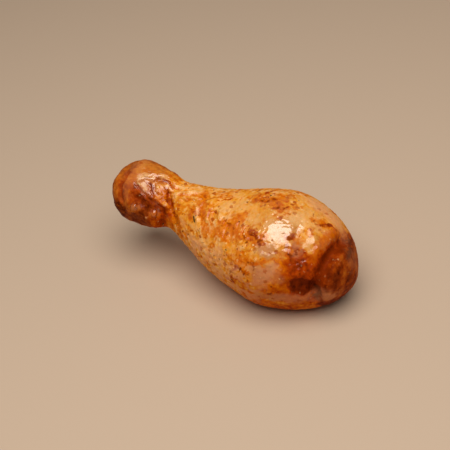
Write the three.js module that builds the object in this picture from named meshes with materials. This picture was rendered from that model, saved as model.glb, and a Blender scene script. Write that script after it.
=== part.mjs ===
// A roast chicken drumstick lying on its side, as one closed solid. Millimetres, +Z up.
//
// The bone line runs along X: the hock knuckle is at -X, and the thick thigh end at +X. The calf
// rests on a small flat spot, and the bone line rises towards the knuckle, which is clear of the
// surface. -Y is the front. The origin is under the middle of the bounding box, on the surface.
//
// Places on the skin are given as x along the bone line, 0 at the knuckle's centre, and as an
// angle round it in degrees: 0 is the top, 90 the front, 180 the underside and 270 the back.
import * as THREE from "three";

// ---- Driving dimensions -------------------------------------------------------------------
const BONE_RISE = 8; // degrees that the bone line rises towards the knuckle
const FLAT_DEPTH = 4.4; // how far the roast calf has settled onto its flat spot
const FLAT_ROUNDING = 1.1; // how far the edge of the flat spot is rounded off

// The outline along the bone line: x, half the thickness there, and how high its middle is.
const OUTLINE = [
  [-16.5, 0, 0.2],
  [-14.6, 6.9, 0],
  [-8.5, 13.7, 0],
  [0, 15, -0.2],
  [9, 14, -0.2],
  [17, 11.5, 0.1],
  [27, 13.9, -1.2],
  [42, 19.3, -2.6],
  [58, 24.4, -2],
  [73, 27.2, -1.5],
  [89, 23.7, -1.5],
  [101, 16.4, -2],
  [107.5, 8, -2.8],
  [110, 0, -3.1],
];
const SAG_FORWARD = 0.5; // what hangs low also leans this share of it to the front
const CALF_X = 72; // where the calf is thickest
const CALF_WIDTH = 1.07; // the calf's section is this much wider than the outline
const CALF_HEIGHT = 0.945; // and this much lower
const CALF_REACH = 34; // how far along the bone line that oval section fades out

// Swellings of the flesh, and hollows where the height is negative. Each has its middle at x and
// angle, and "along" and "round" say how far it spreads along the bone line and round it.
const SWELLINGS = {
  upperKnob: { x: -2, angle: -10, along: 8, round: 9, height: 0.9 },
  capCentre: { x: -14, angle: 60, along: 8, round: 9, height: 0.8 },
  knobHollow: { x: 4, angle: 24, along: 5, round: 6, height: -0.7 },
  lowerKnob: { x: 2, angle: 78, along: 4.2, round: 4, height: 1.3 },
  lowerKnobBack: { x: 11, angle: 76, along: 3, round: 3.2, height: 1.2 },
  heel: { x: 11, angle: 106, along: 4.5, round: 4, height: 1.6 },
  hockBack: { x: 0, angle: 230, along: 9, round: 8, height: 1 },
  hockGroove: { x: 2, angle: 180, along: 12, round: 3.5, height: -0.9 },
  neckTop: { x: 23, angle: 8, along: 7, round: 9, height: 0.6 },
  neckFront: { x: 30, angle: 70, along: 6, round: 8, height: 0.5 },
  shankFront: { x: 44, angle: 84, along: 10, round: 10, height: 0.7 },
  shankTop: { x: 50, angle: 12, along: 9, round: 9, height: -0.5 },
  calfFront: { x: 70, angle: 88, along: 16, round: 14, height: 0.8 },
  calfTop: { x: 66, angle: -10, along: 14, round: 12, height: 0.6 },
  shankUnderside: { x: 51, angle: 180, along: 11, round: 13, height: 3 },
  calfBack: { x: 60, angle: 262, along: 15, round: 12, height: 0.7 },
  calfBackHollow: { x: 84, angle: 288, along: 9, round: 10, height: -0.7 },
  calfKnob: { x: 75, angle: 30, along: 7, round: 7, height: 0.7 },
  calfEndKnob: { x: 89, angle: 32, along: 4.5, round: 9, height: 0.9 },
  calfHollow: { x: 83, angle: 62, along: 7, round: 6, height: -0.6 },
  endHollow: { x: 100, angle: -14, along: 4, round: 9, height: -1.1 },
  lobe: { x: 106, angle: 40, along: 7, round: 12, height: 1.2 },
  lobeRidge: { x: 102.5, angle: 44, along: 2.2, round: 7, height: 0.5 },
  lobeFoot: { x: 103, angle: 86, along: 5, round: 6, height: 1.2 },
  flap: { x: 90, angle: 66, along: 7, round: 5, height: 0.9 },
  flapHollow: { x: 93, angle: 80, along: 4.5, round: 3.2, height: -1.6 },
  pit: { x: 98, angle: 84, along: 2.6, round: 5, height: -3 },
};

// Creases in the skin. Each follows its path of places; "width" is half of how wide it is cut,
// "depth" how deep, and "lip" how high its edges stand up.
const CREASES = {
  capEdge: {
    path: [[-8.2, -30], [-8.8, 0], [-8.8, 22], [-8, 42], [-6.5, 60], [-4.6, 81], [-4, 110]],
    width: 1.8,
    depth: 1.2,
    lip: 0.4,
  },
  knobArch: {
    path: [[-1, 26], [3, 15], [8, 10], [12.9, 8], [15.1, 14]],
    width: 1.4,
    depth: 0.8,
    lip: 0.3,
  },
  knobDivide: {
    path: [[-3.6, 63], [2.5, 62], [8.4, 67], [12.7, 74], [16.1, 84]],
    width: 1.8,
    depth: 1.3,
    lip: 0.3,
  },
  heelNotch: { path: [[16, 128], [15.6, 108], [16.1, 93]], width: 1.8, depth: 1.1, lip: 0.2 },
  neckRing: {
    path: [[15.2, 20], [17.3, 39], [19.1, 52], [21.4, 66], [24, 78], [25, 100]],
    width: 1.8,
    depth: 1.1,
    lip: 0.4,
  },
  stretchUpper: { path: [[12, 1], [19, 1], [28, -6], [36, -12]], width: 1.5, depth: 0.6, lip: 0.3 },
  stretchMiddle: { path: [[18, 16], [24, 12], [31, 5], [39, 2]], width: 1.6, depth: 0.6, lip: 0.3 },
  stretchLower: { path: [[21, 32], [27, 27], [34, 18]], width: 1.7, depth: 0.5, lip: 0.3 },
  shankRing: { path: [[34, 6], [36, 30], [39, 43], [44, 56]], width: 1.8, depth: 0.6, lip: 0.4 },
  shankSwirl: { path: [[45, 2], [42, 18], [43, 36], [47, 52]], width: 1.8, depth: 0.5, lip: 0.4 },
  calfSwirl: { path: [[49, 10], [52, 34], [56, 50], [62, 62]], width: 2, depth: 0.5, lip: 0.4 },
  calfDip: { path: [[83, 4], [86, 26], [87, 44]], width: 2.4, depth: 0.6, lip: 0.1 },
  endCrease: {
    path: [[101.4, -40], [101.2, -8], [99.8, 16], [99.5, 38], [99, 58], [98.6, 78], [99.4, 106]],
    width: 2,
    depth: 1.9,
    lip: 0.4,
  },
  flapEdge: { path: [[87, 80], [90, 74], [94, 72], [97.6, 78]], width: 1.5, depth: 1, lip: 0.5 },
};
const CREASE_FADE = 0.2; // the share of a crease at each end over which it runs out
const LIP_PLACE = 2.1; // how far from a crease its lips stand, in widths of the crease

// Faces. They are finer at both ends and on the front, where the creases are.
const RINGS = 84;
const SECTORS = 71;
const FINE_ENDS = [
  { x: 6, reach: 16, extra: 0.7 },
  { x: 99, reach: 9, extra: 0.9 },
];
const FINE_SIDE = 42; // degrees round the bone line
const FINE_SIDE_SHARE = 0.34; // how much finer than the mean

// ---- Helpers ------------------------------------------------------------------------------
const { clamp, degToRad, lerp, smoothstep } = THREE.MathUtils;

// 1 at zero, falling smoothly to nothing past about two widths.
const hump = (distance, width) => Math.exp(-((distance / width) ** 2));

// ---- The plain form -----------------------------------------------------------------------
// The outline and its mirror image make one closed curve, so both tips are round.
const upper = OUTLINE.map(([x, half, middle]) => new THREE.Vector3(x, half, middle));
const lower = OUTLINE.map(([x, half, middle]) => new THREE.Vector3(x, -half, middle));
const outline = new THREE.CatmullRomCurve3([...upper, ...lower.slice(1, -1).reverse()], true);
outline.arcLengthDivisions = 1200;

// The section at a share of the outline, from 0 at the knuckle's tip to 1 at the thigh end.
function sectionAt(share) {
  const { x, y: half, z: middle } = outline.getPointAt(0.5 * share);
  const calf = hump(x - CALF_X, CALF_REACH);
  return {
    x,
    middle,
    width: half * lerp(1, CALF_WIDTH, calf),
    height: half * lerp(1, CALF_HEIGHT, calf),
  };
}

function pointOn({ x, middle, width, height }, angle) {
  return new THREE.Vector3(
    x,
    SAG_FORWARD * middle - width * Math.sin(angle),
    middle + height * Math.cos(angle),
  );
}

// A spot on the plain form: where it is, the way along the bone line, and the way out of the skin.
function spotOn(share, angle) {
  const step = 0.002;
  const before = sectionAt(Math.max(share - step, 0));
  const after = sectionAt(Math.min(share + step, 1));
  const beside = sectionAt(clamp(share, step, 1 - step));
  const along = pointOn(after, angle).sub(pointOn(before, angle)).normalize();
  const round = pointOn(beside, angle + 0.01).sub(pointOn(beside, angle - 0.01));
  return {
    place: pointOn(sectionAt(share), angle),
    along,
    out: round.cross(along).normalize(),
  };
}

// The same for a place given as x and degrees.
function spotAt(x, degrees) {
  let [low, high] = [0, 1];
  while (high - low > 1e-4) {
    const share = (low + high) / 2;
    if (outline.getPointAt(0.5 * share).x < x) low = share;
    else high = share;
  }
  return spotOn(low, degToRad(degrees));
}

// ---- Swellings and creases ----------------------------------------------------------------
const swellings = Object.values(SWELLINGS).map(({ x, angle, ...size }) => ({
  spot: spotAt(x, angle),
  ...size,
}));

const creases = Object.values(CREASES).map(({ path, ...size }) => {
  const line = new THREE.SplineCurve(path.map(([x, angle]) => new THREE.Vector2(x, angle)));
  const points = line.getPoints(10 * (path.length - 1));
  return { points: points.map(({ x, y: angle }) => spotAt(x, angle).place), ...size };
});

// How far a swelling lifts the skin at a place.
function swellingRise({ spot, along, round, height }, place, out) {
  const away = place.clone().sub(spot.place);
  const alongBone = away.dot(spot.along);
  const roundBone = Math.sqrt(Math.max(away.lengthSq() - alongBone ** 2, 0));
  const sameSide = smoothstep(out.dot(spot.out), 0, 0.5);
  return height * sameSide * hump(alongBone, along) * hump(roundBone, round);
}

// How far a crease and its lips lift the skin at a place.
function creaseRise({ points, width, depth, lip }, place) {
  const piece = new THREE.Line3();
  const nearest = new THREE.Vector3();
  let distance = Infinity;
  let share = 0;
  for (let i = 0; i + 1 < points.length; i++) {
    piece.set(points[i], points[i + 1]);
    const part = piece.closestPointToPointParameter(place, true);
    const gap = piece.at(part, nearest).distanceTo(place);
    if (gap < distance) {
      distance = gap;
      share = (i + part) / (points.length - 1);
    }
  }
  const fade = smoothstep(Math.min(share, 1 - share), -0.02, CREASE_FADE);
  const lips = hump(distance - LIP_PLACE * width, 0.9 * width);
  return fade * (lip * lips - depth * hump(distance, width));
}

// ---- The solid ----------------------------------------------------------------------------
// Shares of the outline at which the rings stand, closer together at the fine ends.
function ringShares() {
  const steps = 1500;
  const counted = [0];
  for (let i = 0; i < steps; i++) {
    const { x } = outline.getPointAt((0.5 * (i + 0.5)) / steps);
    let count = 1;
    for (const end of FINE_ENDS) count += end.extra * hump(x - end.x, end.reach);
    counted.push(counted[i] + count);
  }
  const shares = [0];
  for (let i = 1; i < steps; i++) {
    if (counted[i] >= (counted[steps] * shares.length) / RINGS) shares.push(i / steps);
  }
  return [...shares.slice(0, RINGS), 1];
}

function sectorAngle(sector) {
  const even = (2 * Math.PI * sector) / SECTORS;
  return even - FINE_SIDE_SHARE * Math.sin(even - degToRad(FINE_SIDE));
}

function skinPoint(share, angle) {
  const { place, out } = spotOn(share, angle);
  let rise = 0;
  for (const swelling of swellings) rise += swellingRise(swelling, place, out);
  for (const crease of creases) rise += creaseRise(crease, place);
  return place.addScaledVector(out, rise);
}

// The height over the flat spot: nothing below it, and rounded off where it meets the skin.
function settled(height) {
  if (height > FLAT_ROUNDING) return height;
  return Math.max(height + FLAT_ROUNDING, 0) ** 2 / (4 * FLAT_ROUNDING);
}

function drumstickGeometry() {
  const shares = ringShares();
  const tilt = new THREE.Matrix4().makeRotationY(degToRad(BONE_RISE));
  const points = [];
  for (let ring = 0; ring <= RINGS; ring++) {
    const tip = ring === 0 || ring === RINGS;
    for (let sector = 0; sector < (tip ? 1 : SECTORS); sector++) {
      points.push(skinPoint(shares[ring], sectorAngle(sector)).applyMatrix4(tilt));
    }
  }
  const lowest = Math.min(...points.map((p) => p.z));
  for (const p of points) p.z = lowest + FLAT_DEPTH + settled(p.z - lowest - FLAT_DEPTH);

  const box = new THREE.Box3().setFromPoints(points);
  const middle = box.getCenter(new THREE.Vector3());
  for (const p of points) p.sub(new THREE.Vector3(middle.x, middle.y, box.min.z));

  const last = points.length - 1;
  const at = (ring, sector) => 1 + (ring - 1) * SECTORS + (sector % SECTORS);
  const faces = [];
  for (let sector = 0; sector < SECTORS; sector++) {
    faces.push(0, at(1, sector + 1), at(1, sector));
    for (let ring = 1; ring < RINGS - 1; ring++) {
      const [a, b] = [at(ring, sector), at(ring, sector + 1)];
      const [c, d] = [at(ring + 1, sector), at(ring + 1, sector + 1)];
      faces.push(a, b, c, b, d, c);
    }
    faces.push(at(RINGS - 1, sector), at(RINGS - 1, sector + 1), last);
  }
  const geometry = new THREE.BufferGeometry().setFromPoints(points);
  geometry.setIndex(faces);
  geometry.computeVertexNormals();
  return geometry;
}

const skin = new THREE.MeshStandardMaterial({
  color: 0xd98a45,
  roughness: 0.4,
  metalness: 0,
});
const drumstick = new THREE.Mesh(drumstickGeometry(), skin);
drumstick.name = "drumstick";

const part = new THREE.Group();
part.add(drumstick);
export default part;
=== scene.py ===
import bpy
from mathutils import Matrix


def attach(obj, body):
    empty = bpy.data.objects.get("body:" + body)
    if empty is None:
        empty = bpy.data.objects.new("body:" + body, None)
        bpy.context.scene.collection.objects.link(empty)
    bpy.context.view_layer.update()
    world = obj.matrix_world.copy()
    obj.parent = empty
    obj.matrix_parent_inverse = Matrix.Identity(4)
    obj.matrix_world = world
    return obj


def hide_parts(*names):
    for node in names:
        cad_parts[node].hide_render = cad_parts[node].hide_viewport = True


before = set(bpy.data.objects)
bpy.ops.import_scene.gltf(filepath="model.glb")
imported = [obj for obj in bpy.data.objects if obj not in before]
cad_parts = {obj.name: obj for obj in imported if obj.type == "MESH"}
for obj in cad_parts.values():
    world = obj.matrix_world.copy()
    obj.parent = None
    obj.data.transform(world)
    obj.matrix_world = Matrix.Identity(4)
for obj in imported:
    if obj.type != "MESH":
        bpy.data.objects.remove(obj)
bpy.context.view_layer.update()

import copy
import math
import random

import bpy
import numpy as np
from bpy.props import FloatProperty, FloatVectorProperty, IntProperty, PointerProperty
from mathutils import Euler, Matrix, Vector, noise
from mathutils.bvhtree import BVHTree

bl_info = {
    "name": "Roast drumstick",
    "version": (1, 0, 0),
    "blender": (4, 5, 0),
    "location": "3D View > Sidebar > Drumstick",
    "description": "Dresses a chicken drumstick in folded, glazed roast skin with flecks of spice",
    "category": "Object",
}

# ---- Where things are on the drumstick ----------------------------------------------------
# The bone line runs from the hock knuckle to the thigh end. Places on the skin are given as
# millimetres along it from the knuckle's middle, and as degrees round it: 0 is the top, 90 the
# front, 180 the underside and 270 the back.
KNUCKLE = Vector((-46.05, 1.02, 32.93))  # the knuckle's middle, in millimetres in the frame
BONE_RISE = math.radians(8)  # how far the bone line rises towards the knuckle
SIDE_BEND = 0.5  # how far the bone line bends to the back for each millimetre it bends up
LEAST_HALF = 4  # half the thickness, in millimetres, that a thinner end counts as having

# Along the bone line: distance, half the thickness there, and how high the middle is.
STATIONS = np.array(
    [
        (-16.5, 0.5, 0.2),
        (-14.6, 6.9, 0),
        (-8.5, 13.7, 0),
        (0, 15, -0.2),
        (9, 14, -0.2),
        (17, 11.5, 0.1),
        (27, 13.9, -1.2),
        (42, 19.3, -2.6),
        (58, 24.4, -2),
        (73, 27.2, -1.5),
        (89, 23.7, -1.5),
        (101, 16.4, -2),
        (107.5, 8, -2.8),
        (110, 0.5, -3.1),
    ]
)

# Folds of the skin, each a path of (distance, degrees), half its width and its height.
# Those below 0 are creases, which have a low lip on each side.
FOLDS = {
    "cap edge": (
        [(-5.1, 13), (-6.8, 22), (-7, 37), (-8, 47), (-7.2, 59), (-6, 73), (-3, 86)],
        0.8,
        -0.9,
    ),
    "dome edge": ([(-3.7, 13), (-1.3, 8), (1.5, 5), (3.4, 6)], 0.9, -0.35),
    "brow": ([(0.4, 22), (2.2, 14), (4.4, 9), (6.5, 4), (8.6, -1), (11, -4)], 0.8, 0.5),
    "knuckle arch": (
        [(6, 20), (6.8, 16), (8.3, 9), (10.5, 5), (12.3, 5), (14.3, 8), (16.4, 14)],
        0.55,
        -0.9,
    ),
    "pale edge": ([(-2.7, 29), (-0.3, 37), (3.1, 45), (5.8, 49), (8, 54), (11, 56)], 0.5, -0.7),
    "pale lip": ([(-2, 27), (0.6, 34), (3.6, 41), (6, 45)], 0.6, 0.45),
    "first crinkle": ([(5.2, 26), (7.1, 33), (8.6, 41), (10.6, 48)], 0.45, -0.7),
    "second crinkle": ([(7.4, 23), (8.6, 29), (9.3, 36), (11.2, 43)], 0.45, -0.6),
    "inner swell": ([(9.8, 22), (10.4, 29), (11.6, 35), (12.8, 41)], 0.9, 0.5),
    "outer swell": ([(11.6, 11), (13.6, 15), (15.8, 20), (16.6, 26)], 0.8, 0.45),
    "knuckle fold": ([(9, 46), (12, 51), (14.7, 56), (17.6, 60), (19, 63)], 0.6, 0.5),
    "under fold": ([(7, 58), (10.9, 58), (13.1, 63), (16.2, 68), (18.4, 73)], 1.1, -0.7),
    "heel notch": ([(16, 128), (15.6, 108), (16.1, 93)], 0.9, -0.9),
    "neck ring": ([(15.2, 24), (16.7, 35), (18.3, 49), (20.1, 60), (22, 72)], 1.0, -0.5),
    "first neck streak": ([(13.4, 8), (16.4, 4), (19.7, 2), (22.9, 1), (27, -3)], 0.7, 0.9),
    "second neck streak": ([(17, -19), (20, -13), (23, -8), (27, -6)], 0.6, 0.6),
    "third neck streak": ([(18.2, 27), (21, 19), (24, 13), (27.1, 4), (31, -2)], 0.8, 0.8),
    "fourth neck streak": ([(20.8, 33), (24, 26), (28.5, 19), (33, 15)], 0.8, 0.5),
    "fifth neck streak": ([(31.6, 7), (34.3, 3), (38, 1)], 0.6, 0.5),
    "first ripple": ([(37.8, 22), (39.4, 32), (40.1, 39), (41.6, 46)], 0.6, 0.5),
    "second ripple": ([(43, 24), (45.8, 30), (47, 38), (46, 47)], 0.8, 0.5),
    "third ripple": ([(32.6, 30), (33.9, 39), (35.4, 49), (39, 58)], 0.8, 0.4),
    "fourth ripple": ([(49.4, 27), (51.4, 34), (53.6, 38)], 0.6, 0.35),
    "calf groove": ([(83, 14), (84.6, 34), (86.6, 38), (86.3, 46)], 1.2, -0.5),
    "first calf ridge": ([(86, 8), (89, 18), (92.6, 25), (94.4, 34), (93.4, 44)], 1.6, 0.6),
    "upper bead": ([(1.4, 81), (4, 79)], 2.3, 1.3),
    "middle bead": ([(11.2, 82), (13, 81)], 1.9, 1.1),
    "lower bead": ([(8, 91), (10, 89)], 2.0, 0.6),
    "heel bead": ([(11, 108), (13.5, 106)], 2.6, 0.5),
    "end crease": ([(101, -24), (100, -5), (99.9, 20), (99, 36), (98.8, 60), (98.8, 98)], 2.2, -0.7),
    "flap edge": ([(88, 78), (90, 74), (94, 71), (97, 77)], 0.8, -0.25),
    "lobe ridge": ([(103.2, 14), (102.8, 30), (102.3, 42), (102.9, 56)], 1.2, 0.3),
    "second lobe ridge": ([(106, 20), (106.3, 36), (106.4, 50)], 1.1, 0.25),
}

LIP = 0.35  # height of a crease's lips, compared to its depth
THIN_FOLD = 1.2  # half the width, in millimetres, below which a fold has a pale top, partly a painted highlight

# The hollow and the pit beside the flap: how deep each is, in millimetres, and the pit's path.
HOLLOW_DEPTH = 0.5
PIT_DEPTH = 2.0
PIT = [(98, 88), (99, 94), (99.8, 101)]

# Streaks of marinade, each a path of (distance, degrees), half its width and its strength.
STREAKS = (
    ([(30, -18), (33, 12), (35.6, 28), (37.2, 40), (39.6, 50), (43, 58), (48, 60)], 2.0, 1.25),
    ([(49.3, 56), (54.4, 56), (59.3, 60), (64, 66), (69.3, 66), (75, 64)], 2.6, 1.0),
    ([(45, 54), (48.5, 51), (51.8, 43), (55, 35), (57.9, 27), (60, 22)], 2.6, 1.15),
    ([(50, 37), (56, 41), (61.3, 45), (66, 46)], 2.6, 1.1),
    ([(52, 62), (57, 68), (63, 73), (68, 69), (73, 65)], 1.7, 0.9),
    ([(21, 46), (24, 58), (26, 72), (30, 80)], 1.6, 0.9),
    ([(17.6, 10), (22, 12), (27, 12), (31, 6)], 1.1, 0.8),
    ([(19, 24), (25, 22), (31, 24), (33, 32)], 1.0, 0.8),
    ([(40.6, 28), (42.6, 36), (43.6, 46), (47, 52)], 0.9, 0.9),
    ([(56, -18), (58, -8), (60.6, -1), (63.2, 2), (68.1, -1), (70.8, 7), (69.2, 12)], 2.4, 1.0),
    ([(61, -21), (65, -27), (69, -28)], 1.6, 0.9),
    ([(67, -8), (70, -7), (73, -4)], 1.6, 0.8),
    ([(73.5, 7), (76, 6), (78.4, 2), (80.8, -4)], 0.9, 0.8),
    ([(71, -33), (76, -33), (81.5, -31)], 0.9, 0.8),
    ([(84.6, 4), (87.5, -1), (90, -3), (90.4, 7)], 1.6, 0.9),
    ([(40, 12), (41.5, -4), (45, -16)], 1.2, 0.7),
    ([(50, -14), (53, -24), (57, -34)], 1.4, 0.7),
    ([(84.8, 56), (85.7, 64), (87.2, 72)], 1.8, 1.0),
    ([(80.6, 55), (83, 60), (83.6, 68)], 2.0, 1.0),
)

# Patches that have browned more or less than the skin round them: distance, degrees, reach each
# way, how far it has browned (0 pale, 0.5 orange, 1 charred) and how strongly that shows. Some
# rows are painted highlight and some painted shade, as marked above them.
PATCHES = (
    (47, 10, 8, 3.4, 0.12, 0.8),
    (55, 17, 5, 3, 0.12, 0.7),
    (64, 27, 5, 3, 0.14, 0.7),
    (54, 67, 3, 2.4, 0.16, 0.6),
    (45, 66, 3, 2.4, 0.1, 0.6),
    (39, 80.5, 5, 2.6, 0.02, 0.8),
    (71, 60, 3, 2.4, 0.16, 0.6),
    (59, 12, 5, 3, 0.22, 0.6),
    (66, 18, 7, 3, 0.22, 0.6),
    # Painted highlight: this row and those at 77, 33 and 91, 31 pale the skin where the calf's highlights
    # fall.
    (81, 12, 6, 4, 0.02, 0.9),
    (93, 12, 3, 3, 0.12, 0.7),
    (86, 22, 3, 2.4, 0.1, 0.7),
    (81, 3, 4, 3, 0.1, 0.6),
    (77, 33, 6, 6, 0.02, 0.9),
    (91, 31, 3, 4, 0.04, 0.8),
    (84, -6, 4, 3, 0.18, 0.6),
    (50, -10, 6, 3, 0.2, 0.6),
    (58, -14, 3, 3, 0.14, 0.6),
    (29.5, 29, 2.6, 1.7, 0.14, 0.7),
    (35, 57, 5, 2.6, 0.14, 0.8),
    (62.8, -1, 4, 2.6, 0.82, 0.9),
    (61, -14, 2, 2, 0.7, 0.8),
    (66, 1, 3, 1.2, 0.7, 0.8),
    (71.5, 8, 3.4, 1.8, 0.84, 0.9),
    (76.6, 9, 0.8, 0.6, 0.8, 0.9),
    (70.5, -7, 3, 2, 0.6, 0.9),
    (82, 34, 2.8, 1.8, 0.6, 0.9),
    (83.6, 32, 1.2, 1.6, 0.74, 0.9),
    (87.6, 22, 1.2, 0.9, 0.5, 0.8),
    (90.3, 4, 1.8, 1.6, 0.66, 0.8),
    (86, 42, 2.8, 2, 0.84, 0.9),
    (66, 45, 4.6, 2.6, 0.68, 0.6),
    (-2, 12, 3, 3, 0.34, 0.7),
    (-3.4, 38, 3.6, 3.6, 0.46, 1.0),
    (-1, 50, 6, 3.4, 0.68, 0.9),
    (11, -3, 4, 3, 0.46, 0.7),
    (20, 72, 4, 4, 0.68, 0.8),
    (12, 3, 3, 2.4, 0.46, 0.7),
    (5, 60, 5.6, 4.2, 0.86, 0.9),
    (6, 47, 3, 1.6, 0.7, 0.7),
    (11, 68, 3.6, 3.6, 0.88, 0.9),
    (6.6, 38, 0.9, 1.6, 0.7, 0.8),
    (23, 52, 5, 7, 0.46, 0.6),
    (32, 46, 1.6, 3, 0.5, 0.7),
    (87, 9, 3, 3, 0.12, 0.6),
    (67, 40, 3, 3, 0.22, 0.5),
    (59, 62, 3, 3, 0.24, 0.5),
    (40, 10, 2.4, 2, 0.34, 0.6),
    (65, 11, 2.4, 2, 0.5, 0.7),
    (14, 42, 2.4, 5, 0.48, 0.7),
    (15.6, 76, 4, 4, 0.9, 0.8),
    (2.6, 79, 2.6, 2.4, 0.5, 0.8),
    (12.5, 81, 3, 2.4, 0.42, 0.8),
    (7.6, 80, 2.4, 4, 0.92, 0.8),
    (1, 69, 3, 2.4, 0.76, 0.8),
    (12.5, 69, 2.4, 2, 0.9, 0.8),
    # Partly painted shade: this row and the next two darken the knuckle's underside.
    (-8, 106, 6, 6, 1.0, 1.0),
    (12.5, 104, 6, 5, 0.74, 1.0),
    (3, 108, 6, 6, 0.84, 0.9),
    (-10, 62, 2.6, 6, 0.5, 0.7),
    (105.2, 55, 2, 3, 0.96, 0.9),
    (102.8, 31, 1.4, 3, 0.5, 0.7),
    (105, 22, 2.4, 2.6, 0.34, 0.8),
    # Painted shadow: this row and those at 101, -16 and 100.6, -3 darken the top of the thigh end; the
    # rows at 107, 82 and 103, 75 darken the lobe's lower side, partly as painted shade.
    (103.4, 2, 3, 4, 0.9, 0.85),
    (101, -16, 4, 6, 0.92, 0.85),
    (107, 82, 3, 3, 0.95, 0.8),
    (100.6, -3, 2.6, 3, 0.9, 0.8),
    (99.2, 32, 1.6, 2.4, 1.0, 0.9),
    (98.2, 61, 1.8, 2.4, 1.0, 0.9),
    (89.8, 43, 4, 1.8, 0.68, 0.85),
    (82.5, 60, 2.6, 2.6, 0.66, 0.7),
    (103, 75, 2.4, 3, 0.95, 0.8),
    (93, -27, 9, 6, 0.3, 0.8),
    (102, 50, 1.8, 5, 0.76, 0.9),
    (109, 44, 2, 5, 0.92, 0.8),
)

PALE = 0.25  # a patch that has browned less than this is even, with little marinade on it

# Places that have roasted more or less before the patches: distance, degrees, reach each way
# and how much.
BROADLY = (
    (25, 24, 10, 16, 0.12),
    (46, 16, 9, 6, -0.1),
    (77, -12, 8, 5, -0.1),
    (66, 0, 8, 5, 0.32),
    (66, 47, 7, 5, 0.08),
)

# The same, on top of the patches. The row at 103, 97 lightens the lobe's underside as painted
# reflected light, and the row at 100, -23 darkens the top of the thigh end as painted shadow.
TOUCHES = (
    (103, 97, 3.4, 3, -0.36),
    (100, -23, 4, 8, 0.16),
    (81, 58, 4, 4, 0.1),
    (33, 49, 4, 5, 0.09),
)

# The same, on the knuckle only.
KNUCKLE_TOUCHES = (
    (2, -6, 8, 7, -0.14),
    (-7, 45, 2.4, 14, 0.2),
)

# Places that are wetter or drier: distance, degrees, reach each way and how much.
GLAZED = (
    (80, 27, 18, 15, 0.8),
    (42, 40, 24, 16, 0.26),
    (20, 12, 16, 14, 0.16),
    (6, 24, 9, 8, 0.72),
    (3.2, 76, 2.4, 1.8, 0.9),
    (12.2, 78, 2.2, 1.8, 0.8),
    (64, 0, 12, 8, 0.3),
    (67, 31, 4, 5, 0.25),
    (87, 40, 3.2, 5, -0.5),
    (86.6, 31, 2, 7, -0.7),
    (78, 49, 8, 3.4, -0.25),
    (91, 31, 2, 8, -0.14),
    (8, 38, 4, 7, -0.14),
    (24, 8, 6, 9, -0.1),
)

# Bands at the thigh end, each a path, half its width and its strength: the evenly browned skin
# before the end crease, the painted shade in the crease and the painted shade in the pit.
END_BAND = ([(97.6, -12), (96.6, 6), (95.6, 20), (95.6, 32), (96, 45), (96.4, 56)], 3.0, 1)
END_SHADE = (
    [(105, -12), (102.2, 2), (100.2, 14), (99.3, 30), (98.8, 46), (98.6, 66), (98.6, 90), (98.6, 110)],
    2.3,
    1,
)
DARK_PIT = ([(97.6, 85), (98.6, 91), (99.6, 99)], 1.7, 1)

# Patches of thin skin with the meat's pink showing: distance, degrees, reach each way, strength.
# The rows at 88, 97 and 103, 95 are painted reflected light, low on the calf's end.
PINK = (
    (76.5, 77, 4.6, 4.6, 1.0),
    (79.5, 69, 3, 3.4, 1.0),
    (75, 54, 4, 2, 0.8),
    (88, -27, 12, 6, 0.9),
    (88, 97, 10, 3, 0.6),
    (103, 95, 3, 2, 0.5),
    (39, 80.5, 5, 2.6, 1.0),
    (47.5, 89, 3.4, 1.8, 0.9),
    (55, 96, 3, 1.6, 0.7),
    (52.7, 71, 2, 1.5, 0.8),
    (61, 83, 2.8, 2.4, 0.8),
    (66.2, 85, 1.5, 2.4, 0.8),
    (70, 73, 1.8, 1.6, 0.8),
    (34, 38, 0.8, 2, 0.6),
    (85.5, 38, 2, 1.6, 0.6),
    (92, 6, 3, 2, 0.5),
    (28, 68, 2, 2, 0.6),
)

# Patches of greyish, thin skin: distance, degrees, reach each way and strength. The rows at
# 77, 29 and 91, 31 grey the skin under the calf's highlights, as part of the painted highlight;
# the rows at 81, 96 and 101, 94 are painted reflected light low on the calf's end; the row at
# 106, -6 is painted shade on the thigh end's top.
DULL = (
    (87, 40, 3, 4, 0.9),
    (75, 52, 6, 3.4, 0.8),
    (78, 56, 4, 3, 0.5),
    (77, 29, 7, 6, 0.5),
    (91, 31, 3, 4, 0.3),
    (76, 72, 6, 5, 0.7),
    (83, 73, 3, 3, 0.6),
    (1.6, 32, 2.2, 2, 0.8),
    (4, 39, 2.4, 2, 0.8),
    (2, 19, 3.6, 2.2, 0.8),
    (106, -6, 3, 4, 0.3),
    (81, 96, 7, 3, 0.6),
    (81, 52, 3, 3, 0.4),
    (-4, 24, 4, 14, 0.4),
    (101, 94, 5, 4, 0.6),
)

# Pale, creamy patches of gristle and thin skin, partly painted highlights on the ridges of the
# knuckle and the neck: a path, half its width and its strength.
CREAM = (
    ([(-2, 30), (1.5, 34), (3.8, 36), (6, 40)], 1.1, 0.7),
    ([(-1.4, 25), (0.6, 19), (2.6, 13), (4.4, 10), (6.2, 7)], 1.2, 0.8),
    ([(10.5, 48), (12.4, 51)], 0.4, 0.7),
    ([(14, 54), (16.6, 58)], 0.4, 0.7),
    ([(6.5, 2), (8.4, -1), (10.1, -3), (10.9, -5)], 1.0, 0.8),
    ([(9.4, 23), (10.1, 30), (11.2, 35)], 0.9, 0.8),
    ([(12, 13), (13.8, 16), (16, 20)], 0.9, 0.8),
    ([(15.6, 5), (19, 2.6), (22.6, 1)], 0.8, 1.0),
    ([(24.6, 11), (27.1, 4), (29.8, 0)], 0.8, 0.9),
    ([(34.3, 4), (38, 2)], 0.7, 0.9),
    ([(18, 32), (20.8, 26)], 1.0, 0.8),
    ([(43, 25), (44.1, 21)], 1.1, 0.7),
)

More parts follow.
